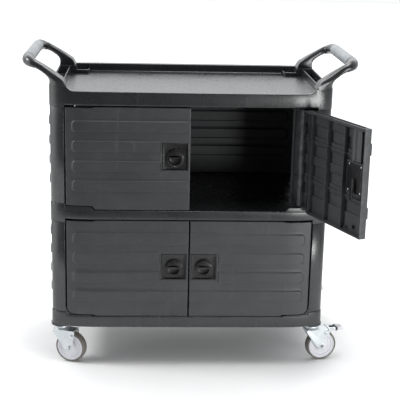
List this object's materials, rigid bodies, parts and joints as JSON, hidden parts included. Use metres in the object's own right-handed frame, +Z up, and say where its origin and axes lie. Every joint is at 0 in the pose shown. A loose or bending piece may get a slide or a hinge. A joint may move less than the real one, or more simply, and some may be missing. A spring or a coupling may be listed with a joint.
{
  "type": "housekeeping cart",
  "caption": "Three-shelf moulded service cart with two ribbed-door cabinets, turn latches, push handles at both ends and swivel casters.",
  "frame": {"origin": "floor level, under the centre of the shelves", "axes": "+X along the cart to the right as seen from the doors, +Y from the doors to the back, +Z up"},
  "size_m": [1.032, 0.8259, 0.984],
  "materials": {
    "shell": "dark charcoal structural plastic, satin with a fine pebble grain",
    "panel": "charcoal plastic, matt, fine grain",
    "lock": "near-black plastic, semi-gloss",
    "grip": "light grey soft grip with fine crosswise ribs",
    "steel": "plain steel rod and bolts",
    "zinc": "bright zinc-plated pressed steel",
    "hub": "pale grey moulded nylon",
    "tyre": "taupe grey thermoplastic rubber, non-marking"
  },
  "bodies": {
    "frame": {"top_shelf": "shell", "middle_shelf": "shell", "bottom_shelf": "shell", "upper_post_front_left": "shell", "upper_post_rear_left": "shell", "upper_side_panel_left": "panel", "hinge_pin_upper_left": "steel", "upper_post_front_right": "shell", "upper_post_rear_right": "shell", "upper_side_panel_right": "panel", "hinge_pin_upper_right": "steel", "upper_back_panel": "panel", "lower_post_front_left": "shell", "lower_post_rear_left": "shell", "lower_side_panel_left": "panel", "hinge_pin_lower_left": "steel", "lower_post_front_right": "shell", "lower_post_rear_right": "shell", "lower_side_panel_right": "panel", "hinge_pin_lower_right": "steel", "lower_back_panel": "panel", "handle_left": "shell", "grip_left": "grip", "handle_right": "shell", "grip_right": "grip", "caster_stem_front_left": "zinc", "caster_stem_front_right": "zinc", "caster_stem_rear_left": "zinc", "caster_stem_rear_right": "zinc"},
    "door_upper_left": {"door_upper_left": "panel", "latch_housing_upper_left": "lock"},
    "latch_upper_left": {"latch_knob_upper_left": "lock"},
    "door_upper_right": {"door_upper_right": "panel", "latch_housing_upper_right": "lock"},
    "latch_upper_right": {"latch_knob_upper_right": "lock"},
    "door_lower_left": {"door_lower_left": "panel", "latch_housing_lower_left": "lock"},
    "latch_lower_left": {"latch_knob_lower_left": "lock"},
    "door_lower_right": {"door_lower_right": "panel", "latch_housing_lower_right": "lock"},
    "latch_lower_right": {"latch_knob_lower_right": "lock"},
    "swivel_front_left": {"caster_fork_front_left": "zinc", "caster_axle_front_left": "steel"},
    "wheel_front_left": {"caster_hub_front_left": "hub", "caster_tyre_front_left": "tyre"},
    "swivel_front_right": {"caster_fork_front_right": "zinc", "caster_axle_front_right": "steel"},
    "wheel_front_right": {"caster_hub_front_right": "hub", "caster_tyre_front_right": "tyre"},
    "brake_front_right": {"brake_pedal_front_right": "zinc"},
    "swivel_rear_left": {"caster_fork_rear_left": "zinc", "caster_axle_rear_left": "steel"},
    "wheel_rear_left": {"caster_hub_rear_left": "hub", "caster_tyre_rear_left": "tyre"},
    "swivel_rear_right": {"caster_fork_rear_right": "zinc", "caster_axle_rear_right": "steel"},
    "wheel_rear_right": {"caster_hub_rear_right": "hub", "caster_tyre_rear_right": "tyre"},
    "brake_rear_right": {"brake_pedal_rear_right": "zinc"}
  },
  "joints": [
    {"name": "hinge_upper_left", "type": "hinge", "parent": "frame", "child": "door_upper_left", "pos_m": [-0.34, -0.246, 0.677], "axis": [0, 0, 1], "range_deg": [-113, 0]},
    {"name": "latch_turn_upper_left", "type": "hinge", "parent": "door_upper_left", "child": "latch_upper_left", "pos_m": [-0.047, -0.258, 0.681], "axis": [0, -1, 0], "range_deg": [0, 90]},
    {"name": "hinge_upper_right", "type": "hinge", "parent": "frame", "child": "door_upper_right", "pos_m": [0.34, -0.246, 0.677], "axis": [0, 0, 1], "range_deg": [-113, 0]},
    {"name": "latch_turn_upper_right", "type": "hinge", "parent": "door_upper_right", "child": "latch_upper_right", "pos_m": [0.46553, -0.51102, 0.681], "axis": [-0.9205, -0.3907, 0], "range_deg": [0, 90]},
    {"name": "hinge_lower_left", "type": "hinge", "parent": "frame", "child": "door_lower_left", "pos_m": [-0.34, -0.246, 0.327], "axis": [0, 0, 1], "range_deg": [-113, 0]},
    {"name": "latch_turn_lower_left", "type": "hinge", "parent": "door_lower_left", "child": "latch_lower_left", "pos_m": [-0.047, -0.258, 0.328], "axis": [0, -1, 0], "range_deg": [0, 90]},
    {"name": "hinge_lower_right", "type": "hinge", "parent": "frame", "child": "door_lower_right", "pos_m": [0.34, -0.246, 0.327], "axis": [0, 0, 1], "range_deg": [0, 113]},
    {"name": "latch_turn_lower_right", "type": "hinge", "parent": "door_lower_right", "child": "latch_lower_right", "pos_m": [0.047, -0.258, 0.328], "axis": [0, 1, 0], "range_deg": [0, 90]},
    {"name": "swivel_turn_front_left", "type": "hinge", "parent": "frame", "child": "swivel_front_left", "pos_m": [-0.404, -0.211, 0.108], "axis": [0, 0, 1], "continuous": true},
    {"name": "wheel_roll_front_left", "type": "hinge", "parent": "swivel_front_left", "child": "wheel_front_left", "pos_m": [-0.37133, -0.22354, 0.05], "axis": [0.3584, 0.9336, 0], "continuous": true},
    {"name": "swivel_turn_front_right", "type": "hinge", "parent": "frame", "child": "swivel_front_right", "pos_m": [0.404, -0.211, 0.108], "axis": [0, 0, 1], "continuous": true},
    {"name": "wheel_roll_front_right", "type": "hinge", "parent": "swivel_front_right", "child": "wheel_front_right", "pos_m": [0.43823, -0.20372, 0.05], "axis": [-0.2079, 0.9781, 0], "continuous": true},
    {"name": "brake_press_front_right", "type": "hinge", "parent": "swivel_front_right", "child": "brake_front_right", "pos_m": [0.44899, -0.20144, 0.093], "axis": [-0.2079, 0.9781, 0], "range_deg": [0, 10]},
    {"name": "swivel_turn_rear_left", "type": "hinge", "parent": "frame", "child": "swivel_rear_left", "pos_m": [-0.404, 0.211, 0.108], "axis": [0, 0, 1], "continuous": true},
    {"name": "wheel_roll_rear_left", "type": "hinge", "parent": "swivel_rear_left", "child": "wheel_rear_left", "pos_m": [-0.36934, 0.21587, 0.05], "axis": [-0.1392, 0.9903, 0], "continuous": true},
    {"name": "swivel_turn_rear_right", "type": "hinge", "parent": "frame", "child": "swivel_rear_right", "pos_m": [0.404, 0.211, 0.108], "axis": [0, 0, 1], "continuous": true},
    {"name": "wheel_roll_rear_right", "type": "hinge", "parent": "swivel_rear_right", "child": "wheel_rear_right", "pos_m": [0.43781, 0.20194, 0.05], "axis": [0.2588, 0.9659, 0], "continuous": true},
    {"name": "brake_press_rear_right", "type": "hinge", "parent": "swivel_rear_right", "child": "brake_rear_right", "pos_m": [0.44843, 0.19909, 0.093], "axis": [0.2588, 0.9659, 0], "range_deg": [0, 10]}
  ]
}
